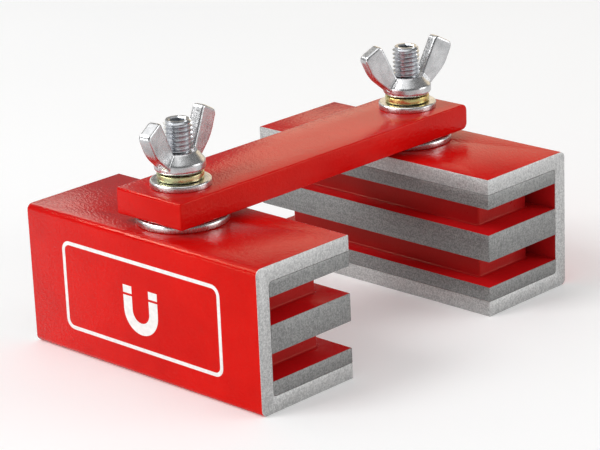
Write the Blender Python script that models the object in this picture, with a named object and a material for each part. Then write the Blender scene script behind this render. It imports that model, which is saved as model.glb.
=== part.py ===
"""Magnetic welding clamp: two magnet blocks on the ends of a flat link bar.

Each block is a steel channel that holds three pole plates with a magnet between each pair.
A socket-head stud stands on the block, passes through the bar and carries a wing nut,
so the block swivels under the bar until the nut is tightened.

Metres, +Z up. The origin is on the floor, midway between the two studs.
+X runs along the blocks and +Y from the left block to the right block.
"""

import math

import bmesh
import bpy
from mathutils import Matrix

# Driving dimensions
BLOCK_LENGTH = 0.090
BLOCK_DEPTH = 0.035
BLOCK_HEIGHT = 0.041
STUD_SPACING = 0.093
GAP = 0.0003  # clearance between two pieces that touch

# Channel and what it holds
CHANNEL_WALL = 0.0045
CHANNEL_OUTER_RADIUS = 0.0018
CHANNEL_INNER_RADIUS = 0.0010
OUTER_PLATE = 0.0043
SLOT = 0.0077
MAGNET_END_RECESS = 0.0080
MAGNET_FACE_RECESS = 0.0052
MAGNET_WEB_CAVITY = 0.0037
GROUND_EDGE = 0.0002  # broken edge of a ground plate
MAGNET_EDGE = 0.0005

# Link bar
BAR_WIDTH = 0.025
BAR_THICKNESS = 0.0077
BAR_OVERHANG = 0.0125  # from a stud's axis to the end of the bar
BAR_SQUARE_CORNER = 0.0007
BAR_ROUND_CORNER = 0.0020
BAR_EDGE = 0.0004

# M8 stud and what is threaded on it
STUD_RADIUS = 0.00395
STUD_TOP = 0.0695
STUD_CHAMFER = 0.0007
SOCKET_ACROSS_FLATS = 0.0040
SOCKET_DEPTH = 0.0040
SPACER_RADIUS = 0.0129
SPACER_THICKNESS = 0.0017
FLAT_WASHER_RADIUS = 0.0085
FLAT_WASHER_THICKNESS = 0.0014
SPRING_WASHER_RADIUS = 0.0065
SPRING_WASHER_THICKNESS = 0.0019
SPRING_WASHER_SPLIT = 0.0009
SPLIT_SLANT = math.radians(25)
WASHER_EDGE = 0.0002

# Wing nut
NUT_BASE_RADIUS = 0.0064
NUT_HUB_RADIUS = 0.0071
NUT_HUB_TOP_RADIUS = 0.0049
NUT_SHOULDER_LOW = 0.0008
NUT_SHOULDER_HIGH = 0.0027
NUT_HUB_HEIGHT = 0.0055
WING_THICKNESS = 0.0037
WING_EDGE = 0.0005

# A wing's corners as (span, height, radius) from the nut's foot, outwards along its belly and back down to the hub
WING_FOOT = (0.0068, 0.0012, 0.0)
WING_BELLY = (0.0127, 0.0064, 0.0120)
WING_OUTER_TIP = (0.0157, 0.0130, 0.0016)
WING_INNER_TIP = (0.0098, 0.0162, 0.0010)
WING_ROOT = (0.0043, 0.0052, 0.0)

ROUND_SEGMENTS = 48
ARC_SEGMENTS = 5
SMOOTH_BELOW = math.radians(35)
CUTTER_MARGIN = 0.002

# Heights worked out from the stack
TOP_PLATE_BOTTOM = BLOCK_HEIGHT - CHANNEL_WALL - OUTER_PLATE
UPPER_SLOT_BOTTOM = TOP_PLATE_BOTTOM - SLOT
LOWER_SLOT_BOTTOM = CHANNEL_WALL + OUTER_PLATE
MIDDLE_PLATE_BOTTOM = LOWER_SLOT_BOTTOM + SLOT
SPACER_BOTTOM = BLOCK_HEIGHT + GAP
BAR_BOTTOM = SPACER_BOTTOM + SPACER_THICKNESS + GAP
BAR_TOP = BAR_BOTTOM + BAR_THICKNESS
FLAT_WASHER_BOTTOM = BAR_TOP + GAP
SPRING_WASHER_BOTTOM = FLAT_WASHER_BOTTOM + FLAT_WASHER_THICKNESS + GAP
NUT_BOTTOM = SPRING_WASHER_BOTTOM + SPRING_WASHER_THICKNESS + GAP
HOLE_RADIUS = STUD_RADIUS + GAP

WEB_FACE = -BLOCK_DEPTH / 2  # the web is on the side turned away from the other block
OPEN_FACE = BLOCK_DEPTH / 2
WEB_INNER = WEB_FACE + CHANNEL_WALL

# Each side: where its stud stands, which way its open face looks, and how its nut and washer were left
SIDES = {
    "left": {
        "stud_y": -STUD_SPACING / 2,
        "turn": 0.0,
        "wing_turn": math.radians(100),
        "split_turn": math.radians(150),
    },
    "right": {
        "stud_y": STUD_SPACING / 2,
        "turn": math.pi,
        "wing_turn": math.radians(76),
        "split_turn": math.radians(38),
    },
}


def clear_scene():
    for obj in list(bpy.data.objects):
        bpy.data.objects.remove(obj)


def make_material(name, colour, roughness, metallic):
    material = bpy.data.materials.new(name)
    material.use_nodes = True
    shader = material.node_tree.nodes["Principled BSDF"]
    shader.inputs["Base Color"].default_value = (*colour, 1.0)
    shader.inputs["Roughness"].default_value = roughness
    shader.inputs["Metallic"].default_value = metallic
    return material


def make_materials():
    """Name: colour, roughness, metallic."""
    finishes = {
        "red_paint": ((0.66, 0.02, 0.018), 0.28, 0.0),
        "magnet_paint": ((0.50, 0.015, 0.015), 0.40, 0.0),
        "ground_steel": ((0.36, 0.36, 0.35), 0.38, 1.0),
        "zinc_plate": ((0.72, 0.72, 0.73), 0.25, 1.0),
        "yellow_zinc": ((0.72, 0.58, 0.26), 0.28, 1.0),
    }
    return {name: make_material(name, *finish) for name, finish in finishes.items()}


def add_empty(name, location, turn):
    empty = bpy.data.objects.new(name, None)
    empty.location = location
    empty.rotation_euler = (0.0, 0.0, turn)
    bpy.context.scene.collection.objects.link(empty)
    return empty


def add_object(name, shape, material=None, parent=None, location=(0.0, 0.0, 0.0), turn=0.0):
    """Makes a smooth-shaded object of a bmesh, which is freed."""
    bmesh.ops.recalc_face_normals(shape, faces=shape.faces)
    mesh = bpy.data.meshes.new(name)
    shape.to_mesh(mesh)
    shape.free()
    mesh.shade_smooth()
    mesh.set_sharp_from_angle(angle=SMOOTH_BELOW)
    obj = bpy.data.objects.new(name, mesh)
    bpy.context.scene.collection.objects.link(obj)
    obj.parent = parent
    obj.location = location
    obj.rotation_euler = (0.0, 0.0, turn)
    if material:
        mesh.materials.append(material)
    return obj


def add_bevel(obj, width, segments):
    bevel = obj.modifiers.new("Edges", "BEVEL")
    bevel.width = width
    bevel.segments = segments
    bevel.limit_method = "ANGLE"
    bevel.angle_limit = SMOOTH_BELOW


def add_boolean(obj, other, operation):
    other.hide_render = True
    other.display_type = "WIRE"
    boolean = obj.modifiers.new(other.name, "BOOLEAN")
    boolean.operation = operation
    boolean.object = other
    boolean.solver = "EXACT"


def rounded_outline(corners):
    """Points round a closed outline of (x, y, radius) corners, each rounded to its own radius."""
    points = []
    for index, (x, y, radius) in enumerate(corners):
        before = corners[index - 1]
        after = corners[(index + 1) % len(corners)]
        if radius == 0:
            points.append((x, y))
            continue
        towards = []
        for other in (before, after):
            length = math.hypot(other[0] - x, other[1] - y)
            towards.append(((other[0] - x) / length, (other[1] - y) / length))
        (ax, ay), (bx, by) = towards
        half_angle = math.acos(max(-1.0, min(1.0, ax * bx + ay * by))) / 2
        middle = math.hypot(ax + bx, ay + by)
        to_centre = radius / math.sin(half_angle) / middle
        centre_x = x + (ax + bx) * to_centre
        centre_y = y + (ay + by) * to_centre
        back = radius / math.tan(half_angle)
        start = math.atan2(y + ay * back - centre_y, x + ax * back - centre_x)
        end = math.atan2(y + by * back - centre_y, x + bx * back - centre_x)
        sweep = (end - start + math.pi) % (2 * math.pi) - math.pi
        for step in range(ARC_SEGMENTS + 1):
            angle = start + sweep * step / ARC_SEGMENTS
            points.append((centre_x + radius * math.cos(angle), centre_y + radius * math.sin(angle)))
    return points


def prism(outline, low, high, place):
    """Extrudes an outline from low to high. place turns (u, v, w) into a position."""
    shape = bmesh.new()
    bottom = [shape.verts.new(place(u, v, low)) for u, v in outline]
    top = [shape.verts.new(place(u, v, high)) for u, v in outline]
    shape.faces.new(bottom)
    shape.faces.new(reversed(top))
    for index in range(len(outline)):
        following = (index + 1) % len(outline)
        shape.faces.new((bottom[index], top[index], top[following], bottom[following]))
    return shape


def box(low, high):
    """A block between two opposite corners."""
    rectangle = [(low[0], low[1]), (high[0], low[1]), (high[0], high[1]), (low[0], high[1])]
    return prism(rectangle, low[2], high[2], lambda u, v, w: (u, v, w))


def turned(profile):
    """Turns a closed (radius, height) profile round Z. A radius of 0 is a point on the axis."""
    shape = bmesh.new()
    rings = []
    for radius, height in profile:
        if radius == 0:
            rings.append([shape.verts.new((0.0, 0.0, height))] * ROUND_SEGMENTS)
            continue
        ring = []
        for step in range(ROUND_SEGMENTS):
            angle = 2 * math.pi * step / ROUND_SEGMENTS
            ring.append(shape.verts.new((radius * math.cos(angle), radius * math.sin(angle), height)))
        rings.append(ring)
    for lower, upper in zip(rings, rings[1:] + rings[:1]):
        for step in range(ROUND_SEGMENTS):
            following = (step + 1) % ROUND_SEGMENTS
            corners = [lower[step], lower[following], upper[following], upper[step]]
            distinct = list(dict.fromkeys(corners))
            if len(distinct) > 2:
                shape.faces.new(distinct)
    return shape


def ring(inner, outer, low, high, edge):
    """A washer with its outer edges broken."""
    profile = [
        (inner, low),
        (outer - edge, low),
        (outer, low + edge),
        (outer, high - edge),
        (outer - edge, high),
        (inner, high),
    ]
    return turned(profile)


def stud_hole(name, parent, location=(0.0, 0.0, 0.0)):
    """Cutter for the hole that the stud passes through."""
    hole = turned([
        (0.0, -CUTTER_MARGIN),
        (HOLE_RADIUS, -CUTTER_MARGIN),
        (HOLE_RADIUS, STUD_TOP + CUTTER_MARGIN),
        (0.0, STUD_TOP + CUTTER_MARGIN),
    ])
    return add_object(name, hole, parent=parent, location=location)


def build_channel(side, clamp, materials):
    """C-section channel: web outwards, lips at the open face."""
    low_inner = CHANNEL_WALL
    high_inner = BLOCK_HEIGHT - CHANNEL_WALL
    section = rounded_outline([
        (OPEN_FACE, 0.0, 0.0),
        (OPEN_FACE, low_inner, 0.0),
        (WEB_INNER, low_inner, CHANNEL_INNER_RADIUS),
        (WEB_INNER, high_inner, CHANNEL_INNER_RADIUS),
        (OPEN_FACE, high_inner, 0.0),
        (OPEN_FACE, BLOCK_HEIGHT, 0.0),
        (WEB_FACE, BLOCK_HEIGHT, CHANNEL_OUTER_RADIUS),
        (WEB_FACE, 0.0, CHANNEL_OUTER_RADIUS),
    ])
    half = BLOCK_LENGTH / 2
    shape = prism(section, -half, half, lambda u, v, w: (w, u, v))
    channel = add_object(f"{side}_channel_casing", shape, materials["red_paint"], clamp)
    hole_low = high_inner - CUTTER_MARGIN
    cutter = turned([
        (0.0, hole_low),
        (HOLE_RADIUS, hole_low),
        (HOLE_RADIUS, BLOCK_HEIGHT + CUTTER_MARGIN),
        (0.0, BLOCK_HEIGHT + CUTTER_MARGIN),
    ])
    add_boolean(channel, add_object(f"{side}_flange_hole", cutter, parent=clamp), "DIFFERENCE")


def build_pole_plate(side, level, low, high, back, clamp, materials):
    """Full-length plate, flush with the channel's ends and open face."""
    half = BLOCK_LENGTH / 2
    shape = box((-half, back, low), (half, OPEN_FACE, high))
    plate = add_object(f"{side}_{level}_pole_plate", shape, materials["ground_steel"], clamp)
    add_bevel(plate, GROUND_EDGE, 1)
    return plate


def build_pole_plates(side, clamp, materials):
    """The outer plates stand back from the channel's rounded inner corners, and the stud is in the top one."""
    top = BLOCK_HEIGHT - CHANNEL_WALL - GAP
    middle_back = WEB_INNER + GAP
    outer_back = middle_back + CHANNEL_INNER_RADIUS / 2
    build_pole_plate(side, "middle", MIDDLE_PLATE_BOTTOM, UPPER_SLOT_BOTTOM, middle_back, clamp, materials)
    build_pole_plate(side, "bottom", CHANNEL_WALL + GAP, LOWER_SLOT_BOTTOM, outer_back, clamp, materials)
    top_plate = build_pole_plate(side, "top", TOP_PLATE_BOTTOM, top, outer_back, clamp, materials)
    add_boolean(top_plate, stud_hole(f"{side}_plate_hole", clamp), "DIFFERENCE")


def build_magnets(side, clamp, materials):
    """One magnet in each slot, set back from the ends and the open face, and clear of the web."""
    half = BLOCK_LENGTH / 2 - MAGNET_END_RECESS
    back = WEB_INNER + MAGNET_WEB_CAVITY
    front = OPEN_FACE - MAGNET_FACE_RECESS
    for level, bottom in (("upper", UPPER_SLOT_BOTTOM), ("lower", LOWER_SLOT_BOTTOM)):
        shape = box((-half, back, bottom + GAP), (half, front, bottom + SLOT - GAP))
        magnet = add_object(f"{side}_{level}_magnet", shape, materials["magnet_paint"], clamp)
        add_bevel(magnet, MAGNET_EDGE, 2)


def build_stud(side, clamp, materials):
    """Stud screwed through the flange and the top plate, with a hexagon socket in its top."""
    low = TOP_PLATE_BOTTOM + GAP
    shape = turned([
        (0.0, low),
        (STUD_RADIUS - STUD_CHAMFER, low),
        (STUD_RADIUS, low + STUD_CHAMFER),
        (STUD_RADIUS, STUD_TOP - STUD_CHAMFER),
        (STUD_RADIUS - STUD_CHAMFER, STUD_TOP),
        (0.0, STUD_TOP),
    ])
    stud = add_object(f"{side}_stud", shape, materials["zinc_plate"], clamp)
    corner_radius = SOCKET_ACROSS_FLATS / math.sqrt(3)
    hexagon = []
    for corner in range(6):
        angle = math.radians(60 * corner)
        hexagon.append((corner_radius * math.cos(angle), corner_radius * math.sin(angle)))
    socket = prism(hexagon, STUD_TOP - SOCKET_DEPTH, STUD_TOP + CUTTER_MARGIN, lambda u, v, w: (u, v, w))
    add_boolean(stud, add_object(f"{side}_socket", socket, parent=clamp), "DIFFERENCE")


def build_spacer_washer(side, clamp, materials):
    """Wide washer between the block and the bar."""
    shape = ring(HOLE_RADIUS, SPACER_RADIUS, SPACER_BOTTOM, SPACER_BOTTOM + SPACER_THICKNESS, WASHER_EDGE)
    add_object(f"{side}_spacer_washer", shape, materials["zinc_plate"], clamp)


def build_clamp(side, facts, materials):
    """The magnet block. Its parent empty is on its swivel's axis."""
    clamp = add_empty(f"{side}_swivel", (0.0, facts["stud_y"], 0.0), facts["turn"])
    build_channel(side, clamp, materials)
    build_pole_plates(side, clamp, materials)
    build_magnets(side, clamp, materials)
    build_stud(side, clamp, materials)
    build_spacer_washer(side, clamp, materials)


def build_link_bar(materials):
    """Flat bar: square left end, and a right end rounded over above and below."""
    half_width = BAR_WIDTH / 2
    end = STUD_SPACING / 2 + BAR_OVERHANG
    section = rounded_outline([
        (-end, BAR_BOTTOM, BAR_SQUARE_CORNER),
        (end, BAR_BOTTOM, BAR_ROUND_CORNER),
        (end, BAR_TOP, BAR_ROUND_CORNER),
        (-end, BAR_TOP, BAR_SQUARE_CORNER),
    ])
    shape = prism(section, -half_width, half_width, lambda u, v, w: (w, u, v))
    bar = add_object("link_bar", shape, materials["red_paint"])
    add_bevel(bar, BAR_EDGE, 2)
    for side, facts in SIDES.items():
        hole = stud_hole(f"{side}_bar_hole", None, (0.0, facts["stud_y"], 0.0))
        add_boolean(bar, hole, "DIFFERENCE")


def build_flat_washer(side, facts, materials):
    shape = ring(HOLE_RADIUS, FLAT_WASHER_RADIUS, 0.0, FLAT_WASHER_THICKNESS, WASHER_EDGE)
    location = (0.0, facts["stud_y"], FLAT_WASHER_BOTTOM)
    add_object(f"{side}_flat_washer", shape, materials["zinc_plate"], location=location)


def build_spring_washer(side, facts, materials):
    """Split ring, pressed flat by the nut, with a slanted split."""
    inner = HOLE_RADIUS
    outer = SPRING_WASHER_RADIUS
    thickness = SPRING_WASHER_THICKNESS
    shape = ring(inner, outer, 0.0, thickness, WASHER_EDGE)
    location = (0.0, facts["stud_y"], SPRING_WASHER_BOTTOM)
    washer = add_object(
        f"{side}_spring_washer", shape, materials["yellow_zinc"], location=location, turn=facts["split_turn"]
    )
    half_split = SPRING_WASHER_SPLIT / 2
    low = (inner / 2, -half_split, -CUTTER_MARGIN)
    high = (outer + CUTTER_MARGIN, half_split, CUTTER_MARGIN)
    split = box(low, high)
    bmesh.ops.rotate(split, verts=split.verts, matrix=Matrix.Rotation(SPLIT_SLANT, 3, "X"))
    bmesh.ops.translate(split, verts=split.verts, vec=(0.0, 0.0, thickness / 2))
    cutter = add_object(f"{side}_split", split, location=location, turn=facts["split_turn"])
    add_boolean(washer, cutter, "DIFFERENCE")


def wing_outline():
    """Both wings and the web that joins them through the hub, in (span, height)."""
    right = [WING_FOOT, WING_BELLY, WING_OUTER_TIP, WING_INNER_TIP, WING_ROOT]
    left = [(-span, height, radius) for span, height, radius in reversed(right)]
    return rounded_outline(right + left)


def build_wing_nut(side, facts, materials):
    """Forged wing nut: a hub that is coned above its shoulder, with a wing leaning out on each side."""
    location = (0.0, facts["stud_y"], NUT_BOTTOM)
    turn = facts["wing_turn"]
    half = WING_THICKNESS / 2
    wings = prism(wing_outline(), -half, half, lambda u, v, w: (u, w, v))
    nut = add_object(f"{side}_wing_nut", wings, materials["zinc_plate"], location=location, turn=turn)
    add_bevel(nut, WING_EDGE, 2)
    hub_shape = turned([
        (0.0, 0.0),
        (NUT_BASE_RADIUS, 0.0),
        (NUT_HUB_RADIUS, NUT_SHOULDER_LOW),
        (NUT_HUB_RADIUS, NUT_SHOULDER_HIGH),
        (NUT_HUB_TOP_RADIUS, NUT_HUB_HEIGHT),
        (0.0, NUT_HUB_HEIGHT),
    ])
    hub = add_object(f"{side}_nut_hub", hub_shape, location=location, turn=turn)
    add_boolean(nut, hub, "UNION")
    add_boolean(nut, stud_hole(f"{side}_nut_bore", None, (0.0, facts["stud_y"], 0.0)), "DIFFERENCE")


def main():
    clear_scene()
    materials = make_materials()
    build_link_bar(materials)
    for side, facts in SIDES.items():
        build_clamp(side, facts, materials)
        build_flat_washer(side, facts, materials)
        build_spring_washer(side, facts, materials)
        build_wing_nut(side, facts, materials)


main()
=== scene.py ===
"""Looks of the magnetic welding clamp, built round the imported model. Metres, +Z up.

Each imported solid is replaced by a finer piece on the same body, whose place and main sizes are
read from the solid's box. Each block's web also carries a plain printed sign.
"""
import math

import bmesh
import bpy
from mathutils import Matrix, Vector


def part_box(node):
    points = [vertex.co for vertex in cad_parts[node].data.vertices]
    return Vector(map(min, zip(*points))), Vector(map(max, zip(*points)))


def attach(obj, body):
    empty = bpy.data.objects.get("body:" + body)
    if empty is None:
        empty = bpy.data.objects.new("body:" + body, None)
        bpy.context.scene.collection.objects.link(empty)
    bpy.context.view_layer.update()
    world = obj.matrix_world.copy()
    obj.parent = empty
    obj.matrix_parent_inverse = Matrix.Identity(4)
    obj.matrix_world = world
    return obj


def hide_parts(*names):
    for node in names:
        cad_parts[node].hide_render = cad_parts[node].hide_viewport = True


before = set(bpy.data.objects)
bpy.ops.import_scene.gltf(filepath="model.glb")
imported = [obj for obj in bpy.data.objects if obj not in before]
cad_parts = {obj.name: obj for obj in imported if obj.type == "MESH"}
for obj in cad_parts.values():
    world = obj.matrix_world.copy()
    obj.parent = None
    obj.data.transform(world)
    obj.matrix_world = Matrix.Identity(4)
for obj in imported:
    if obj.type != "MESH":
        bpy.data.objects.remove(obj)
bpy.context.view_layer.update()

MM = 0.001
SIDES = ("left", "right")

# How finely shapes are made
ROUND_STEPS = 96
CORNER_STEPS = 8
SMALL_CORNER_STEPS = 5
SMOOTH_BELOW = math.radians(32)
CUT_MARGIN = MM  # how far a cutter reaches past what it cuts

# Clearances
SOLID_GAP = 0.3 * MM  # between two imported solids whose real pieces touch
CONTACT_GAP = 0.04 * MM  # what is left of it here
CLOSING = SOLID_GAP - CONTACT_GAP  # how far one of the two pieces grows to close it


# ---------------------------------------------------------------- mesh helpers


def finish_mesh(name, shape, materials):
    """Turns a bmesh into an object in the row frame, smooth but for its sharp edges."""
    bmesh.ops.recalc_face_normals(shape, faces=shape.faces)
    mesh = bpy.data.meshes.new(name)
    shape.to_mesh(mesh)
    shape.free()
    mesh.shade_smooth()
    mesh.set_sharp_from_angle(angle=SMOOTH_BELOW)
    for material in materials:
        mesh.materials.append(material)
    obj = bpy.data.objects.new(name, mesh)
    bpy.context.scene.collection.objects.link(obj)
    return obj


def apply_modifiers(obj, smooth_below=SMOOTH_BELOW):
    """Replaces the object's mesh with what its modifiers make of it."""
    bpy.context.view_layer.update()
    graph = bpy.context.evaluated_depsgraph_get()
    mesh = bpy.data.meshes.new_from_object(obj.evaluated_get(graph))
    obj.modifiers.clear()
    obj.data = mesh
    mesh.shade_smooth()
    mesh.set_sharp_from_angle(angle=smooth_below)


def bevel_edges(obj, width, segments):
    """Rounds the object's sharp edges."""
    bevel = obj.modifiers.new("edges", "BEVEL")
    bevel.width = width
    bevel.segments = segments
    bevel.limit_method = "ANGLE"
    bevel.angle_limit = SMOOTH_BELOW
    apply_modifiers(obj)


def cut(obj, cutter):
    """Cuts another object away from this one. The cutter is used up."""
    modifier = obj.modifiers.new("cut", "BOOLEAN")
    modifier.operation = "DIFFERENCE"
    modifier.object = cutter
    modifier.solver = "EXACT"
    apply_modifiers(obj)
    bpy.data.objects.remove(cutter)


def rounded_outline(corners, steps=CORNER_STEPS):
    """Points round a closed outline of (x, y, radius) corners, each rounded to its own radius."""
    points = []
    for index, (x, y, radius) in enumerate(corners):
        here = Vector((x, y))
        if radius == 0:
            points.append(here)
            continue
        before = (Vector(corners[index - 1][:2]) - here).normalized()
        after = (Vector(corners[(index + 1) % len(corners)][:2]) - here).normalized()
        half_angle = before.angle(after) / 2
        centre = here + (before + after).normalized() * radius / math.sin(half_angle)
        back = radius / math.tan(half_angle)
        start = here + before * back - centre
        turn = start.angle_signed(here + after * back - centre)
        for step in range(steps + 1):
            points.append(centre + Matrix.Rotation(-turn * step / steps, 2) @ start)
    return points


def prism(outline, low, high, place):
    """Extrudes an outline from low to high. place turns (u, v, w) into a position."""
    shape = bmesh.new()
    bottom = [shape.verts.new(place(u, v, low)) for u, v in outline]
    top = [shape.verts.new(place(u, v, high)) for u, v in outline]
    shape.faces.new(bottom)
    shape.faces.new(reversed(top))
    for index in range(len(outline)):
        following = (index + 1) % len(outline)
        shape.faces.new((bottom[index], top[index], top[following], bottom[following]))
    return shape


def extrude_along_x(section, low_x, high_x):
    """Extrudes a section of (y, z) points along X."""
    return prism(section, low_x, high_x, lambda y, z, x: (x, y, z))


def skin_rings(shape, rings, closed=False):
    """Faces between each ring of vertices and the next, and from the last to the first if closed."""
    count = len(rings[0])
    following_rings = rings[1:] + rings[:1] if closed else rings[1:]
    for ring, above in zip(rings, following_rings):
        for step in range(count):
            following = (step + 1) % count
            shape.faces.new((ring[step], ring[following], above[following], above[step]))


def turned(profile, centre):
    """Turns a closed (radius, height) profile round the upright axis through centre."""
    shape = bmesh.new()
    rings = []
    for radius, height in profile:
        ring = []
        for step in range(ROUND_STEPS):
            angle = 2 * math.pi * step / ROUND_STEPS
            across = Vector((math.cos(angle), math.sin(angle), 0)) * radius
            ring.append(shape.verts.new(centre + across + Vector((0, 0, height))))
        rings.append(ring)
    skin_rings(shape, rings, closed=True)
    return shape


def cut_hole(obj, axis, radius, low, high):
    """Cuts a round hole along the upright axis, right through what lies between low and high."""
    outline = []
    for step in range(ROUND_STEPS):
        angle = 2 * math.pi * step / ROUND_STEPS
        outline.append((radius * math.cos(angle), radius * math.sin(angle)))
    bottom = low - CUT_MARGIN
    top = high + CUT_MARGIN
    shape = prism(outline, bottom, top, lambda u, v, w: (axis.x + u, axis.y + v, w))
    cut(obj, finish_mesh("cutter", shape, []))


# ---------------------------------------------------------------- material helpers

# Numbers of the Mix nodes' sockets that share their names with others
MIX_COLOUR_A = 6
MIX_COLOUR_B = 7
MIX_FLOAT_RESULT = 0
MIX_COLOUR_RESULT = 2
MIX_SHADER_A = 1
MIX_SHADER_B = 2


class Nodes:
    """A short way to write a material's node tree."""

    def __init__(self, name):
        self.material = bpy.data.materials.new(name)
        self.material.use_nodes = True
        self.tree = self.material.node_tree
        self.shader = self.tree.nodes["Principled BSDF"]
        self.coordinates = self.add("ShaderNodeTexCoord").outputs

    def add(self, kind, inputs=(), **settings):
        made = self.tree.nodes.new(kind)
        for key, value in settings.items():
            setattr(made, key, value)
        for key, value in dict(inputs).items():
            self.put(made.inputs[key], value)
        return made

    def put(self, socket, value):
        """Links the socket to another one, or sets it to a constant."""
        if isinstance(value, bpy.types.NodeSocket):
            self.tree.links.new(value, socket)
        else:
            socket.default_value = value

    def set(self, **values):
        """Sets the Principled BSDF's inputs, with _ for a space."""
        for key, value in values.items():
            self.put(self.shader.inputs[key.replace("_", " ")], value)

    def noise(self, scale, detail=3.0, roughness=0.55, distortion=0.0, stretch=None):
        """Noise with about scale features in a metre. stretch is a factor on that along X, Y and Z."""
        place = self.coordinates["Object"]
        if stretch:
            mapping = self.add("ShaderNodeMapping", {"Vector": place, "Scale": stretch})
            place = mapping.outputs["Vector"]
        inputs = {
            "Vector": place,
            "Scale": scale,
            "Detail": detail,
            "Roughness": roughness,
            "Distortion": distortion,
        }
        return self.add("ShaderNodeTexNoise", inputs).outputs["Fac"]

    def ramp(self, value, low, high, to_low=0.0, to_high=1.0):
        """Maps value from low..high to to_low..to_high, and holds it there."""
        inputs = {
            "Value": value,
            "From Min": low,
            "From Max": high,
            "To Min": to_low,
            "To Max": to_high,
        }
        return self.add("ShaderNodeMapRange", inputs).outputs["Result"]

    def math(self, operation, first, second=0.0):
        made = self.add("ShaderNodeMath", operation=operation)
        self.put(made.inputs[0], first)
        self.put(made.inputs[1], second)
        return made.outputs["Value"]

    def mix(self, factor, first, second):
        """Mixes two colours."""
        made = self.add("ShaderNodeMix", {"Factor": factor}, data_type="RGBA")
        self.put(made.inputs[MIX_COLOUR_A], first)
        self.put(made.inputs[MIX_COLOUR_B], second)
        return made.outputs[MIX_COLOUR_RESULT]

    def blend(self, factor, first, second):
        """Mixes two values."""
        inputs = {"Factor": factor, "A": first, "B": second}
        return self.add("ShaderNodeMix", inputs, data_type="FLOAT").outputs[MIX_FLOAT_RESULT]

    def bump(self, height, distance, onto=None):
        """A normal that height raises by up to distance, on top of another bump if onto is given."""
        inputs = {"Height": height, "Distance": distance, "Strength": 1.0}
        if onto:
            inputs["Normal"] = onto
        return self.add("ShaderNodeBump", inputs).outputs["Normal"]


def rgb(red, green, blue):
    return (red, green, blue, 1.0)


def grey(value):
    return rgb(value, value, value)


# ---------------------------------------------------------------- materials

ENAMEL_IOR = 1.3
ENAMEL_GLOSS_TINT = rgb(1.0, 0.70, 0.42)
DUST_HEIGHT = 0.02 * MM
GRINDING_DEPTH = 0.006 * MM
STEEL_GRAIN_HEIGHT = 0.020 * MM
YELLOW_ZINC_HEIGHT = 0.02 * MM
INK_HEIGHT = 0.006 * MM
FLOOR_IN_GLOSS = 0.60  # how pale the gloss of the enamel sees the floor
FLOOR_GLOW = 0.11


def enamel(name, colour, deep, peel, roughness):
    """Gloss enamel: orange peel, finer spray grain, and a little dust in the film."""
    n = Nodes(name)
    patches = n.ramp(n.noise(55, 3), 0.3, 0.7)
    base = n.mix(patches, rgb(*colour), rgb(*deep))
    thin_spots = n.ramp(n.noise(900, 2), 0.45, 0.75)
    n.set(Base_Color=n.mix(n.math("MULTIPLY", thin_spots, 0.18), base, rgb(*deep)))
    n.set(Roughness=n.ramp(n.noise(320, 3), 0.3, 0.7, roughness * 0.8, roughness * 1.25))
    n.set(IOR=ENAMEL_IOR, Specular_Tint=ENAMEL_GLOSS_TINT)
    waves = n.bump(n.noise(950, 2, 0.5), peel)
    grain = n.bump(n.noise(1900, 2, 0.5), peel * 0.45, onto=waves)
    specks = n.ramp(n.noise(1500, 1), 0.72, 0.80)
    n.set(Normal=n.bump(specks, DUST_HEIGHT, onto=grain))
    return n.material


def ground_steel(name, colour, shade, roughness):
    """Bare steel off a surface grinder: fine streaks across each face and a mottled grain.

    The streaks run along X, and upright on the ends.
    """
    n = Nodes(name)
    facing = n.add("ShaderNodeSeparateXYZ", {"Vector": n.coordinates["Normal"]})
    on_end = n.ramp(n.math("ABSOLUTE", facing.outputs["X"]), 0.4, 0.6)
    along = n.noise(2600, 3, 0.6, stretch=(0.05, 1.0, 1.0))
    upright = n.noise(2600, 3, 0.6, stretch=(1.0, 1.0, 0.09))
    streaks = n.blend(on_end, along, upright)
    grain = n.noise(2300, 2, 0.7)
    tone = n.math("ADD", n.math("MULTIPLY", grain, 0.78), n.math("MULTIPLY", streaks, 0.22))
    base = n.mix(n.ramp(tone, 0.38, 0.62), rgb(*shade), rgb(*colour))
    clouds = n.ramp(n.noise(120, 3, 0.6), 0.35, 0.75, 0.0, 0.16)
    n.set(Base_Color=n.mix(clouds, base, rgb(*shade)))
    n.set(Metallic=0.78, Roughness=n.ramp(grain, 0.3, 0.7, roughness * 0.8, roughness * 1.2))
    lines = n.bump(streaks, GRINDING_DEPTH)
    n.set(Normal=n.bump(grain, STEEL_GRAIN_HEIGHT, onto=lines))
    return n.material


def zinc(name, colour, shade, roughness, lumps):
    """Bright zinc plate over a forged or stamped blank, whose dents are about lumps deep."""
    n = Nodes(name)
    clouds = n.ramp(n.noise(260, 4, 0.6), 0.35, 0.7)
    base = n.mix(clouds, rgb(*colour), rgb(*shade))
    grain = n.noise(2400, 3, 0.6)
    n.set(Base_Color=n.mix(n.ramp(grain, 0.55, 0.8, 0.0, 0.35), base, rgb(*shade)))
    n.set(Metallic=1.0, Roughness=n.ramp(grain, 0.3, 0.7, roughness * 0.75, roughness * 1.3))
    dents = n.bump(n.noise(480, 3, 0.5), lumps)
    n.set(Normal=n.bump(grain, lumps * 0.25, onto=dents))
    return n.material


def yellow_zinc(name, green, gold, pink):
    """Yellow passivated zinc, whose colour wanders between three tints."""
    n = Nodes(name)
    wander = n.noise(210, 3, 0.6, 0.6)
    green_gold = n.mix(n.ramp(wander, 0.40, 0.52), rgb(*green), rgb(*gold))
    n.set(Base_Color=n.mix(n.ramp(wander, 0.56, 0.68), green_gold, rgb(*pink)))
    n.set(Metallic=1.0, Roughness=n.ramp(n.noise(1500, 2), 0.3, 0.7, 0.18, 0.32))
    n.set(Normal=n.bump(n.noise(900, 3), YELLOW_ZINC_HEIGHT))
    return n.material


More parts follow.
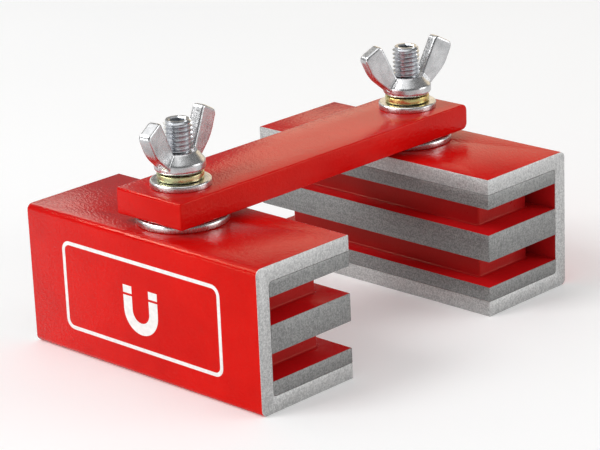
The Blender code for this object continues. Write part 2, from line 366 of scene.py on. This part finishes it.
def print_ink(name):
    """White ink, printed on the enamel."""
    n = Nodes(name)
    worn = n.ramp(n.noise(700, 3), 0.4, 0.7)
    n.set(Base_Color=n.mix(worn, rgb(0.86, 0.86, 0.84), rgb(0.76, 0.75, 0.73)))
    n.set(Roughness=n.ramp(n.noise(1200, 2), 0.3, 0.7, 0.3, 0.45))
    n.set(Normal=n.bump(n.noise(2200, 2), INK_HEIGHT))
    return n.material


def floor_material():
    """Pale paper with a faint glow, which the gloss of the enamel sees darker than the eye does."""
    n = Nodes("floor")
    pale = n.mix(n.noise(9, 2), grey(0.92), grey(0.95))
    seen_in_gloss = n.add("ShaderNodeLightPath").outputs["Is Glossy Ray"]
    n.set(Base_Color=n.mix(seen_in_gloss, pale, grey(FLOOR_IN_GLOSS)))
    n.set(Roughness=0.7, Specular_IOR_Level=0.1)
    n.set(Emission_Color=grey(1.0), Emission_Strength=FLOOR_GLOW)
    return n.material


RED = (0.66, 0.005, 0.004)
DEEP_RED = (0.55, 0.003, 0.003)
# The slot and magnet reds are the casing's paint made darker: painted shade of the recesses between
# the plates
SHADED_SLOT_RED = (0.58, 0.010, 0.012)
DEEP_SHADED_SLOT_RED = (0.48, 0.007, 0.009)
SHADED_MAGNET_RED = (0.46, 0.009, 0.011)
DEEP_SHADED_MAGNET_RED = (0.38, 0.007, 0.009)

CASING_PAINT = enamel("casing_paint", RED, DEEP_RED, 0.110 * MM, 0.07)
BAR_PAINT = enamel("bar_paint", RED, DEEP_RED, 0.080 * MM, 0.07)
SLOT_PAINT_WITH_SHADE = enamel("slot_paint_with_shade", SHADED_SLOT_RED, DEEP_SHADED_SLOT_RED, 0.050 * MM, 0.20)
MAGNET_PAINT_WITH_SHADE = enamel("magnet_paint", SHADED_MAGNET_RED, DEEP_SHADED_MAGNET_RED, 0.050 * MM, 0.34)
CASING_STEEL = ground_steel("casing_steel", (0.78, 0.78, 0.77), (0.44, 0.44, 0.44), 0.50)
PLATE_STEEL = ground_steel("plate_steel", (0.42, 0.42, 0.41), (0.20, 0.20, 0.20), 0.48)
STUD_ZINC = zinc("stud_zinc", (0.72, 0.74, 0.77), (0.50, 0.52, 0.55), 0.30, 0.012 * MM)
WASHER_ZINC = zinc("washer_zinc", (0.86, 0.86, 0.86), (0.60, 0.60, 0.60), 0.28, 0.020 * MM)
NUT_ZINC = zinc("nut_zinc", (0.82, 0.82, 0.83), (0.56, 0.57, 0.58), 0.28, 0.045 * MM)
YELLOW_ZINC = {
    "left": yellow_zinc("olive_zinc", (0.58, 0.60, 0.34), (0.70, 0.64, 0.32), (0.66, 0.54, 0.36)),
    "right": yellow_zinc("gold_zinc", (0.66, 0.60, 0.26), (0.78, 0.58, 0.20), (0.72, 0.44, 0.30)),
}
INK = print_ink("print_ink")


# ---------------------------------------------------------------- facts read from the frame


class Side:
    """One block: where its parts are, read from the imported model."""

    def __init__(self, name):
        self.name = name
        self.casing_low, self.casing_high = self.box("channel_casing")
        stud_low, stud_high = self.box("stud")
        self.axis = Vector(((stud_low.x + stud_high.x) / 2, (stud_low.y + stud_high.y) / 2, 0))
        self.stud_radius = (stud_high.x - stud_low.x) / 2
        self.outwards = -1 if self.axis.y < 0 else 1  # the way the web looks, along Y
        self.web_y = self.casing_low.y if self.outwards < 0 else self.casing_high.y
        self.open_y = self.casing_high.y if self.outwards < 0 else self.casing_low.y

    def box(self, part):
        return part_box(f"{self.name}_{part}")

    def inwards(self, distance):
        """The Y that is this far from the web's outer face, towards the open face."""
        return self.web_y - self.outwards * distance

    def add(self, piece, body, slot, *nodes):
        """Puts a piece on a body in the place of its solids."""
        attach(piece, f"{self.name}_{body}" if body != "link" else "link")
        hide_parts(*[f"{self.name}_{node}" for node in nodes])


# ---------------------------------------------------------------- blocks

# The channel's section
WALL = 4.5 * MM
OUTER_RADIUS = 1.8 * MM
INNER_RADIUS = 1.0 * MM

INK_THICKNESS = 0.03 * MM
CASING_EDGE = 0.18 * MM
PLATE_EDGE = 0.16 * MM
GROUND_EDGE_SEGMENTS = 2

# Material numbers on a block's pieces
PAINTED = 0
BARE = 1
# the inner web, in the darker magnet red as painted shade behind the magnets
SHADED_BEHIND_MAGNETS = 2

FACING = 0.3  # a normal's component from which a face looks that way, so that bevels count too
OPEN_EDGE = 0.5 * MM  # how near to the open face a ground face's centre lies

# The Z normal of a plate's face that lies against the channel
JOINT_NORMALS = {"top": 1, "middle": 0, "bottom": -1}

MAGNET_CORNER = 0.6 * MM
PAINT_FILLET = 0.55 * MM
PAINT_FILLET_STEPS = 5


def grind_faces(obj, side, joint_normal=0):
    """Bares the steel of the ends, the open face and a face that lies against the channel."""
    for face in obj.data.polygons:
        on_end = abs(face.normal.x) > FACING
        looks_open = face.normal.y * -side.outwards > FACING
        on_open_face = looks_open and abs(face.center.y - side.open_y) < OPEN_EDGE
        in_joint = joint_normal * face.normal.z > FACING
        face.material_index = BARE if on_end or on_open_face or in_joint else PAINTED


def make_casing(side):
    """A channel with rounded corners. Its web is set in by the ink that is printed on it."""
    low = side.casing_low
    high = side.casing_high
    floor = low.z + WALL
    roof = high.z - WALL
    web = side.inwards(WALL)
    web_face = side.inwards(INK_THICKNESS)
    section = rounded_outline([
        (side.open_y, low.z, 0),
        (side.open_y, floor, 0),
        (web, floor, INNER_RADIUS),
        (web, roof, INNER_RADIUS),
        (side.open_y, roof, 0),
        (side.open_y, high.z, 0),
        (web_face, high.z, OUTER_RADIUS),
        (web_face, low.z, OUTER_RADIUS),
    ])
    materials = [CASING_PAINT, CASING_STEEL, MAGNET_PAINT_WITH_SHADE]
    casing = finish_mesh(f"{side.name}_casing", extrude_along_x(section, low.x, high.x), materials)
    cut_hole(casing, side.axis, side.stud_radius + CONTACT_GAP, roof, high.z)
    bevel_edges(casing, CASING_EDGE, GROUND_EDGE_SEGMENTS)
    grind_faces(casing, side)
    # The painted inner face of the web takes the darker magnet red: painted shade deep in the slots
    for face in casing.data.polygons:
        on_inner_web = abs(face.center.y - web) < INNER_RADIUS
        if on_inner_web and face.material_index == PAINTED:
            face.material_index = SHADED_BEHIND_MAGNETS
    side.add(casing, "clamp", "casing_paint", "channel_casing")


def make_plate(side, level):
    """A pole plate that fits the channel, painted in the slots, ground on its ends and open face."""
    low, high = side.box(f"{level}_pole_plate")
    if level == "top":
        high.z += CLOSING
    if level == "bottom":
        low.z -= CLOSING
    front = high.y if side.outwards < 0 else low.y
    back = side.inwards(WALL + CONTACT_GAP)
    corner = INNER_RADIUS - CONTACT_GAP
    section = rounded_outline([
        (front, low.z, 0),
        (back, low.z, corner if level == "bottom" else 0),
        (back, high.z, corner if level == "top" else 0),
        (front, high.z, 0),
    ])
    shape = extrude_along_x(section, low.x, high.x)
    # Its slot faces take the darker slot red, painted shade of the slots
    plate = finish_mesh(f"{side.name}_{level}_plate", shape, [SLOT_PAINT_WITH_SHADE, PLATE_STEEL])
    if level == "top":
        cut_hole(plate, side.axis, side.stud_radius + CONTACT_GAP, low.z, high.z)
    bevel_edges(plate, PLATE_EDGE, GROUND_EDGE_SEGMENTS)
    grind_faces(plate, side, JOINT_NORMALS[level])
    side.add(plate, "clamp", "ground_steel", f"{level}_pole_plate")


def make_magnet(side, level):
    """A magnet painted in with its plates: the paint runs out in a small fillet above and below it."""
    low, high = side.box(f"{level}_magnet")
    low.z -= CLOSING
    high.z += CLOSING
    fillet = []
    for step in range(PAINT_FILLET_STEPS + 1):
        angle = math.pi / 2 * step / PAINT_FILLET_STEPS
        fillet.append((PAINT_FILLET * (1 - math.sin(angle)), PAINT_FILLET * (1 - math.cos(angle))))
    flare = [(grow, low.z + rise) for grow, rise in fillet]
    flare += [(grow, high.z - rise) for grow, rise in reversed(fillet)]
    shape = bmesh.new()
    rings = []
    for grow, height in flare:
        corner = MAGNET_CORNER + grow
        outline = rounded_outline([
            (low.x - grow, low.y - grow, corner),
            (high.x + grow, low.y - grow, corner),
            (high.x + grow, high.y + grow, corner),
            (low.x - grow, high.y + grow, corner),
        ])
        rings.append([shape.verts.new((x, y, height)) for x, y in outline])
    skin_rings(shape, rings)
    shape.faces.new(reversed(rings[0]))
    shape.faces.new(rings[-1])
    # Its red is darker than the casing's: painted shade of the recess it sits in
    magnet = finish_mesh(f"{side.name}_{level}_magnet_body", shape, [MAGNET_PAINT_WITH_SHADE])
    side.add(magnet, "clamp", "magnet_paint", f"{level}_magnet")


# ---------------------------------------------------------------- sign printed on the web

INK_SUNK = 0.05 * MM  # how far the ink reaches into the web
PANEL_HALF_WIDTH = 31 * MM
PANEL_HALF_HEIGHT = 13 * MM
PANEL_RADIUS = 3 * MM
PANEL_LINE = 1.1 * MM
HORSESHOE_RADIUS = 5.0 * MM  # to the middle of its stroke
HORSESHOE_STROKE = 3.4 * MM
HORSESHOE_STEPS = 24
HORSESHOE_CENTRE = -1.4 * MM  # heights from the middle of the web
ARM_TOP = 2.4 * MM
TIP_BOTTOM = 3.1 * MM
TIP_TOP = 5.3 * MM


def stroke_outline(path, width):
    """The two sides of an open path, as one closed outline."""
    left = []
    right = []
    for index, point in enumerate(path):
        before = path[max(index - 1, 0)]
        after = path[min(index + 1, len(path) - 1)]
        across = (after - before).normalized().orthogonal() * width / 2
        left.append(point + across)
        right.append(point - across)
    return left + right[::-1]


def rectangle(low_u, high_u, low_v, high_v, radius=0):
    """An outline on the web, with rounded corners if radius is given."""
    return rounded_outline([
        (low_u, low_v, radius),
        (high_u, low_v, radius),
        (high_u, high_v, radius),
        (low_u, high_v, radius),
    ])


def panel_outline(shrink):
    """The panel line's outer edge, or one that far inside it."""
    wide = PANEL_HALF_WIDTH - shrink
    high = PANEL_HALF_HEIGHT - shrink
    return rectangle(-wide, wide, -high, high, PANEL_RADIUS - shrink)


def horseshoe_outline():
    """A bow open at the top, with straight arms up to ARM_TOP."""
    path = [Vector((-HORSESHOE_RADIUS, ARM_TOP))]
    for step in range(HORSESHOE_STEPS + 1):
        angle = math.pi + math.pi * step / HORSESHOE_STEPS
        height = HORSESHOE_RADIUS * math.sin(angle) + HORSESHOE_CENTRE
        path.append(Vector((HORSESHOE_RADIUS * math.cos(angle), height)))
    path.append(Vector((HORSESHOE_RADIUS, ARM_TOP)))
    return stroke_outline(path, HORSESHOE_STROKE)


def make_print(side):
    """A plain panel line round a horseshoe magnet sign, in white ink on the web."""
    centre_x = (side.casing_low.x + side.casing_high.x) / 2
    centre_z = (side.casing_low.z + side.casing_high.z) / 2
    inner_y = side.inwards(INK_THICKNESS + INK_SUNK)
    shape = bmesh.new()

    def ring(points, y):
        return [shape.verts.new((centre_x + u, y, centre_z + v)) for u, v in points]

    def lay_frame(outside, inside):
        """A line of ink between two outlines with the same number of points."""
        outer_rings = [ring(outside, inner_y), ring(outside, side.web_y)]
        inner_rings = [ring(inside, side.web_y), ring(inside, inner_y)]
        skin_rings(shape, outer_rings + inner_rings, closed=True)

    def lay(outline):
        """A flat patch of ink."""
        rings = [ring(outline, inner_y), ring(outline, side.web_y)]
        skin_rings(shape, rings)
        shape.faces.new(rings[0])
        shape.faces.new(reversed(rings[1]))

    lay_frame(panel_outline(0), panel_outline(PANEL_LINE))
    lay(horseshoe_outline())
    half = HORSESHOE_STROKE / 2
    for arm in (-HORSESHOE_RADIUS, HORSESHOE_RADIUS):
        lay(rectangle(arm - half, arm + half, TIP_BOTTOM, TIP_TOP))
    ink = finish_mesh(f"{side.name}_panel_print", shape, [INK])
    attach(ink, f"{side.name}_clamp")


# ---------------------------------------------------------------- stud

# M8 thread
STUD_PITCH = 1.25 * MM
THREAD_DEPTH = 0.68 * MM
THREAD_CLEARANCE = 0.07 * MM  # between the stud's thread and the nut's
THREAD_STEPS = 64
SPARE_TURNS_BELOW = 1
SPARE_TURNS = 3  # in all, so that the thread reaches past both ends before it is trimmed
PLANE_TOLERANCE = 1e-8
ON_PLANE = 1e-7

# One pitch of the thread's section: a share of the pitch, and the share of the depth there
THREAD_FORM = (
    (0.0, 0.0),
    (0.125, 0.0),
    (0.26, 0.55),
    (0.40, 0.96),
    (0.56, 1.0),
    (0.72, 0.96),
    (0.86, 0.55),
)

STUD_CHAMFER = 0.75 * MM
SOCKET_SIDES = 6
SOCKET_FLATS = 4.0 * MM
SOCKET_DEPTH = 4.0 * MM
SOCKET_CHAMFER = 0.35 * MM
SOCKET_MARGIN = 0.1 * MM  # how far the socket's cutter stands above the stud
SOCKET_TURN = math.radians(12)


def trim_at(shape, height, outwards):
    """Cuts off all that lies past a height, up or down, and closes the shape there."""
    bmesh.ops.bisect_plane(
        shape,
        geom=shape.verts[:] + shape.edges[:] + shape.faces[:],
        plane_co=(0, 0, height),
        plane_no=(0, 0, outwards),
        clear_outer=True,
        dist=PLANE_TOLERANCE,
    )
    rim = []
    for edge in shape.edges:
        if edge.is_boundary and abs(edge.verts[0].co.z - height) < ON_PLANE:
            rim.append(edge)
    bmesh.ops.edgeloop_fill(shape, edges=rim)


def thread_shape(radius, low, high, end_radius=None):
    """A right-hand thread of that crest radius. end_radius is where a chamfer meets each end."""
    shape = bmesh.new()
    first_turn = math.floor(low / STUD_PITCH) - SPARE_TURNS_BELOW
    turns = int((high - low) / STUD_PITCH) + SPARE_TURNS
    columns = []
    for step in range(THREAD_STEPS):
        angle = 2 * math.pi * step / THREAD_STEPS
        start = first_turn + step / THREAD_STEPS
        column = []
        for turn in range(turns + 1):
            for rise, depth in THREAD_FORM:
                height = (start + turn + rise) * STUD_PITCH
                reach = radius - depth * THREAD_DEPTH
                if end_radius:
                    from_end = max(0.0, min(high - height, height - low))
                    reach = min(reach, end_radius + from_end)
                spot = (reach * math.cos(angle), reach * math.sin(angle), height)
                column.append(shape.verts.new(spot))
        columns.append(column)
    # The last column meets the first one a pitch higher up
    columns.append(columns[0][len(THREAD_FORM):])
    for here, after in zip(columns, columns[1:]):
        for index in range(min(len(here), len(after)) - 1):
            shape.faces.new((here[index], after[index], after[index + 1], here[index + 1]))
    trim_at(shape, low, -1)
    trim_at(shape, high, 1)
    return shape


def socket_cutter(side, top):
    """A hexagon prism that flares into a chamfer at the top of the stud."""
    corner = SOCKET_FLATS / math.sqrt(3)
    flare = SOCKET_CHAMFER + SOCKET_MARGIN
    sections = ((corner, -SOCKET_DEPTH), (corner, -SOCKET_CHAMFER), (corner + flare, SOCKET_MARGIN))
    shape = bmesh.new()
    rings = []
    for reach, height in sections:
        ring = []
        for step in range(SOCKET_SIDES):
            angle = 2 * math.pi / SOCKET_SIDES * step + SOCKET_TURN
            spot = Vector((reach * math.cos(angle), reach * math.sin(angle), top + height))
            ring.append(shape.verts.new(side.axis + spot))
        rings.append(ring)
    skin_rings(shape, rings)
    shape.faces.new(rings[0])
    shape.faces.new(reversed(rings[-1]))
    return finish_mesh("socket", shape, [])


def make_stud(side):
    """Threaded stud with a hexagon socket in its top."""
    low, high = side.box("stud")
    shape = thread_shape(side.stud_radius, low.z, high.z, side.stud_radius - STUD_CHAMFER)
    bmesh.ops.translate(shape, verts=shape.verts, vec=side.axis)
    stud = finish_mesh(f"{side.name}_threaded_stud", shape, [STUD_ZINC])
    cut(stud, socket_cutter(side, high.z))
    side.add(stud, "clamp", "stud_zinc", "stud")


# ---------------------------------------------------------------- washers

WASHER_CLEARANCE = 0.15 * MM  # round the stud
WASHER_RISE = 0.1 * MM  # how far a washer grows towards what lies on it
SPACER_RIM = 0.8 * MM
FLAT_WASHER_RIM = 0.45 * MM

RING_CLEARANCE = 0.12 * MM  # round the stud
RING_EDGE = 0.28 * MM
RING_LIFT = 0.16 * MM  # by which one end of the ring stands above the other
HALF_SPLIT = 0.075  # half the angle between the ring's ends
SPLIT_SLANT = 0.10  # the angle by which the split leans from bottom to top
SPLIT_TURNS = {"left": math.radians(150), "right": math.radians(38)}


def washer_profile(inner, outer, low, high, edge):
    """A stamped washer's section: rounded on top of its rim, broken elsewhere."""
    corners = [
        (inner, low, edge / 3),
        (outer, low, edge / 3),
        (outer, high, edge),
        (inner, high, edge / 2),
    ]
    return rounded_outline(corners, SMALL_CORNER_STEPS)


def make_washer(side, part, body, rim):
    """A zinc-plated ring that lies close on what is below it."""
    low, high = side.box(part)
    inner = side.stud_radius + WASHER_CLEARANCE
    outer = (high.x - low.x) / 2
    profile = washer_profile(inner, outer, low.z - CLOSING, high.z + WASHER_RISE, rim)
    washer = finish_mesh(f"{side.name}_{part}_disc", turned(profile, side.axis), [WASHER_ZINC])
    side.add(washer, body, "washer_zinc", part)


def make_spring_washer(side):
    """Split ring of nearly square wire, whose ends still stand slightly apart in height."""
    low, high = side.box("spring_washer")
    inner = side.stud_radius + RING_CLEARANCE
    outer = (high.x - low.x) / 2
    thick = high.z - low.z
    section = washer_profile(inner, outer, 0.0, thick - RING_LIFT, RING_EDGE)
    first_end = SPLIT_TURNS[side.name] + HALF_SPLIT
    sweep = 2 * math.pi - 2 * HALF_SPLIT
    shape = bmesh.new()
    rings = []
    for step in range(ROUND_STEPS + 1):
        share = step / ROUND_STEPS
        ring = []
        for radius, height in section:
            lean = SPLIT_SLANT * (height / thick - 0.5)
            angle = first_end + sweep * share + lean
            up = low.z + height + RING_LIFT * share
            spot = Vector((radius * math.cos(angle), radius * math.sin(angle), up))
            ring.append(shape.verts.new(side.axis + spot))
        rings.append(ring)
    skin_rings(shape, rings)
    shape.faces.new(rings[0])
    shape.faces.new(reversed(rings[-1]))
    washer = finish_mesh(f"{side.name}_split_ring", shape, [YELLOW_ZINC[side.name]])
    side.add(washer, "lock_ring", "yellow_zinc", "spring_washer")


# ---------------------------------------------------------------- wing nut

# A wing's corners as (span, height, radius) from the nut's foot, outwards along its belly and back
# down to the hub
WING_FOOT = (6.8 * MM, 1.2 * MM, 0)
WING_BELLY = (12.7 * MM, 6.4 * MM, 12 * MM)
WING_OUTER_TIP = (15.7 * MM, 13.0 * MM, 1.7 * MM)
WING_INNER_TIP = (9.8 * MM, 16.2 * MM, 1.1 * MM)
WING_ROOT = (4.3 * MM, 5.2 * MM, 0)
WING_HALF_THICKNESS = 1.85 * MM
WING_EDGE = 0.55 * MM
WING_EDGE_SEGMENTS = 4
WING_TURNS = {"left": math.radians(100), "right": math.radians(76)}

# The hub's corners as (distance from the axis, height, radius), from its foot to its top
HUB_FOOT = (6.4 * MM, 0.0, 0.5 * MM)
HUB_SHOULDER_LOW = (7.1 * MM, 0.8 * MM, 0.6 * MM)
HUB_SHOULDER_HIGH = (7.1 * MM, 2.7 * MM, 0.7 * MM)
HUB_TOP = (4.9 * MM, 5.5 * MM, 0.4 * MM)
HUB_CORE = 2 * MM  # the radius of its hole before the thread is cut

# How the wings are run into the hub
FORGING_VOXEL = 0.20 * MM
FORGING_SMOOTH_STEPS = 5
FORGING_SMOOTH_FACTOR = 0.5
FORGING_SMOOTH_BELOW = math.radians(70)


def wing_outline():
    """Both wings and the web between them, in (span, height) from the nut's foot."""
    right = [WING_FOOT, WING_BELLY, WING_OUTER_TIP, WING_INNER_TIP, WING_ROOT]
    left = [(-span, height, radius) for span, height, radius in reversed(right)]
    return rounded_outline(right + left)


def hub_profile():
    """The hub's section: a rounded foot, a shoulder, and a cone up to the thread."""
    outside = [HUB_FOOT, HUB_SHOULDER_LOW, HUB_SHOULDER_HIGH, HUB_TOP]
    core_low = (HUB_CORE, HUB_FOOT[1], 0)
    core_high = (HUB_CORE, HUB_TOP[1], 0)
    return rounded_outline([core_low] + outside + [core_high], SMALL_CORNER_STEPS)


def join_meshes(name, objects, materials):
    """One object of several, which are used up."""
    whole = bmesh.new()
    for obj in objects:
        whole.from_mesh(obj.data)
        bpy.data.objects.remove(obj)
    return finish_mesh(name, whole, materials)


def make_wing_nut(side):
    """The forged nut: hub and wings run into each other, with a real thread cut through them."""
    low, high = side.box("wing_nut")
    foot = side.axis + Vector((0, 0, low.z))
    turn = Matrix.Rotation(WING_TURNS[side.name], 3, "Z")
    half = WING_HALF_THICKNESS
    shape = prism(wing_outline(), -half, half, lambda u, v, w: foot + turn @ Vector((u, w, v)))
    wings = finish_mesh("wings", shape, [])
    bevel_edges(wings, WING_EDGE, WING_EDGE_SEGMENTS)
    hub = finish_mesh("hub", turned(hub_profile(), foot), [])
    nut = join_meshes(f"{side.name}_forged_wing_nut", [wings, hub], [NUT_ZINC])
    remesh = nut.modifiers.new("remesh", "REMESH")
    remesh.mode = "VOXEL"
    remesh.voxel_size = FORGING_VOXEL
    smooth = nut.modifiers.new("smooth", "SMOOTH")
    smooth.iterations = FORGING_SMOOTH_STEPS
    smooth.factor = FORGING_SMOOTH_FACTOR
    apply_modifiers(nut, FORGING_SMOOTH_BELOW)
    bore = thread_shape(side.stud_radius + THREAD_CLEARANCE, low.z - STUD_PITCH, high.z)
    bmesh.ops.translate(bore, verts=bore.verts, vec=side.axis)
    cut(nut, finish_mesh("bore", bore, []))
    side.add(nut, "nut", "nut_zinc", "wing_nut")


# ---------------------------------------------------------------- link bar

BAR_SQUARE_CORNER = 0.75 * MM
BAR_ROUND_CORNER = 2.0 * MM
BAR_EDGE = 0.45 * MM
BAR_EDGE_SEGMENTS = 3
BAR_HOLE_CLEARANCE = 0.2 * MM


def make_bar(sides):
    """A flat bar, nearly square at the left block and rounded off at the right one."""
    low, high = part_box("link_bar")
    section = rounded_outline([
        (low.y, low.z, BAR_SQUARE_CORNER),
        (high.y, low.z, BAR_ROUND_CORNER),
        (high.y, high.z, BAR_ROUND_CORNER),
        (low.y, high.z, BAR_SQUARE_CORNER),
    ])
    bar = finish_mesh("flat_link_bar", extrude_along_x(section, low.x, high.x), [BAR_PAINT])
    bevel_edges(bar, BAR_EDGE, BAR_EDGE_SEGMENTS)
    for side in sides:
        cut_hole(bar, side.axis, side.stud_radius + BAR_HOLE_CLEARANCE, low.z, high.z)
    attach(bar, "link")
    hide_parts("link_bar")


# ---------------------------------------------------------------- camera, light and floor

CAMERA_TURN = math.radians(44.357)
CAMERA_HEIGHT = math.radians(18.806)
CAMERA_ROLL = math.radians(-2.403)
CAMERA_DISTANCE = 0.7310
CAMERA_TARGET = Vector((-0.01295, 0.01214, 0.0205))
CAMERA_SENSOR = 36
CAMERA_LENS = 148.97
CAMERA_CLIP = 0.01

WORLD_STRENGTH = 0.62
WORLD_IN_GLOSS = 0.26  # how bright reflections see the world, which is white to the camera

FLOOR_RADIUS = 6.0
FLOOR_SEGMENTS = 128
FLOOR_DROP = 0.02 * MM  # below the blocks' undersides

WHITE = (1.0, 1.0, 1.0)
PANEL_DISTANCE = 0.45
PANEL_HEIGHT = 0.28
MIRROR_LEVEL = 0.046  # the height of the tops that mirror the panels


def make_camera():
    """A long lens that looks at the left block's web and at the blocks' +X ends."""
    level = math.cos(CAMERA_HEIGHT)
    back = Vector((
        math.sin(CAMERA_TURN) * level,
        -math.cos(CAMERA_TURN) * level,
        math.sin(CAMERA_HEIGHT),
    ))
    across = Vector((0, 0, 1)).cross(back).normalized()
    up = back.cross(across)
    right = across * math.cos(CAMERA_ROLL) + up * math.sin(CAMERA_ROLL)
    true_up = up * math.cos(CAMERA_ROLL) - across * math.sin(CAMERA_ROLL)
    data = bpy.data.cameras.new("camera")
    data.sensor_width = CAMERA_SENSOR
    data.lens = CAMERA_LENS
    data.clip_start = CAMERA_CLIP
    camera = bpy.data.objects.new("camera", data)
    rotation = Matrix((right, true_up, back)).transposed()
    place = Matrix.Translation(CAMERA_TARGET + back * CAMERA_DISTANCE)
    camera.matrix_world = place @ rotation.to_4x4()
    bpy.context.scene.collection.objects.link(camera)
    bpy.context.scene.camera = camera


def add_softbox(name, place, aim, size, power, colour=WHITE, lights_up=True):
    """An area light. With lights_up off it is only seen in reflections."""
    data = bpy.data.lights.new(name, "AREA")
    data.shape = "RECTANGLE"
    data.size, data.size_y = size
    data.energy = power
    data.color = colour
    light = bpy.data.objects.new(name, data)
    light.location = place
    light.rotation_euler = (Vector(aim) - Vector(place)).to_track_quat("-Z", "Y").to_euler()
    light.visible_camera = False
    light.visible_diffuse = lights_up
    bpy.context.scene.collection.objects.link(light)


def add_panel_behind(name, from_right, to_right, radiance, colour):
    """A glowing panel behind the object, which the tops mirror to the camera.

    It reaches between two distances to the right of the origin, as the camera sees it.
    """
    away = Vector((-math.sin(CAMERA_TURN), math.cos(CAMERA_TURN), 0))
    right = Vector((math.cos(CAMERA_TURN), math.sin(CAMERA_TURN), 0))
    middle = away * PANEL_DISTANCE + right * (from_right + to_right) / 2
    level = Vector((0, 0, MIRROR_LEVEL))
    rise = Vector((0, 0, PANEL_DISTANCE * math.tan(CAMERA_HEIGHT)))
    width = to_right - from_right
    add_softbox(
        name,
        place=middle + level + rise,
        aim=middle - away * PANEL_DISTANCE + level,
        size=(width, PANEL_HEIGHT),
        power=radiance * math.pi * width * PANEL_HEIGHT,
        colour=colour,
        lights_up=False,
    )


def make_world():
    """An even dim light, which reflections see darker and the camera sees as white."""
    world = bpy.data.worlds.new("studio")
    bpy.context.scene.world = world
    world.use_nodes = True
    tree = world.node_tree
    path = tree.nodes.new("ShaderNodeLightPath")
    dim = tree.nodes.new("ShaderNodeMix")
    dim.data_type = "RGBA"
    dim.inputs[MIX_COLOUR_A].default_value = grey(1.0)
    dim.inputs[MIX_COLOUR_B].default_value = grey(WORLD_IN_GLOSS)
    tree.links.new(path.outputs["Is Glossy Ray"], dim.inputs["Factor"])
    background = tree.nodes["Background"]
    background.inputs["Strength"].default_value = WORLD_STRENGTH
    tree.links.new(dim.outputs[MIX_COLOUR_RESULT], background.inputs["Color"])
    white = tree.nodes.new("ShaderNodeBackground")
    white.inputs["Strength"].default_value = 1.0
    choose = tree.nodes.new("ShaderNodeMixShader")
    tree.links.new(path.outputs["Is Camera Ray"], choose.inputs["Fac"])
    tree.links.new(background.outputs["Background"], choose.inputs[MIX_SHADER_A])
    tree.links.new(white.outputs["Background"], choose.inputs[MIX_SHADER_B])
    tree.links.new(choose.outputs["Shader"], tree.nodes["World Output"].inputs["Surface"])


def make_floor():
    """A wide disc just below the blocks."""
    shape = bmesh.new()
    bmesh.ops.create_circle(shape, cap_ends=True, segments=FLOOR_SEGMENTS, radius=FLOOR_RADIUS)
    bmesh.ops.translate(shape, verts=shape.verts, vec=(0, 0, -FLOOR_DROP))
    floor = finish_mesh("floor", shape, [floor_material()])


def make_lights():
    """Three softboxes that light the object, and four panels for its gloss to mirror."""
    add_softbox("key", (-0.45, -0.90, 1.15), aim=(0, 0, 0.02), size=(0.6, 0.6), power=8.0)
    add_softbox("front", (-0.30, -1.15, 0.14), aim=(0, 0, 0.02), size=(0.9, 0.26), power=2.8)
    add_softbox("side", (1.2, 0.9, 0.35), aim=(0, 0, 0.04), size=(0.9, 0.7), power=5.6)
    add_softbox(
        "overhead",
        place=(-0.25, -0.20, 1.10),
        aim=(-0.25, -0.20, 0),
        size=(1.7, 1.1),
        power=6.4,
        lights_up=False,
    )
    add_softbox(
        "edge",
        place=(-0.93, -0.56, 0.89),
        aim=(0, 0, 0.03),
        size=(0.5, 0.4),
        power=10,
        lights_up=False,
    )
    add_panel_behind("backdrop", -0.040, 0.55, radiance=0.95, colour=(1.0, 0.82, 0.57))
    add_panel_behind("rim", -0.28, -0.118, radiance=1.2, colour=(1.0, 0.95, 0.85))


def make_studio():
    make_camera()
    make_world()
    make_floor()
    make_lights()
    bpy.context.scene.view_settings.view_transform = "Standard"


# ---------------------------------------------------------------- everything

sides = [Side(name) for name in SIDES]

make_studio()
make_bar(sides)
for side in sides:
    make_casing(side)
    for level in ("top", "middle", "bottom"):
        make_plate(side, level)
    for level in ("upper", "lower"):
        make_magnet(side, level)
    make_print(side)
    make_stud(side)
    make_washer(side, "spacer_washer", "clamp", SPACER_RIM)
    make_washer(side, "flat_washer", "link", FLAT_WASHER_RIM)
    make_spring_washer(side)
    make_wing_nut(side)
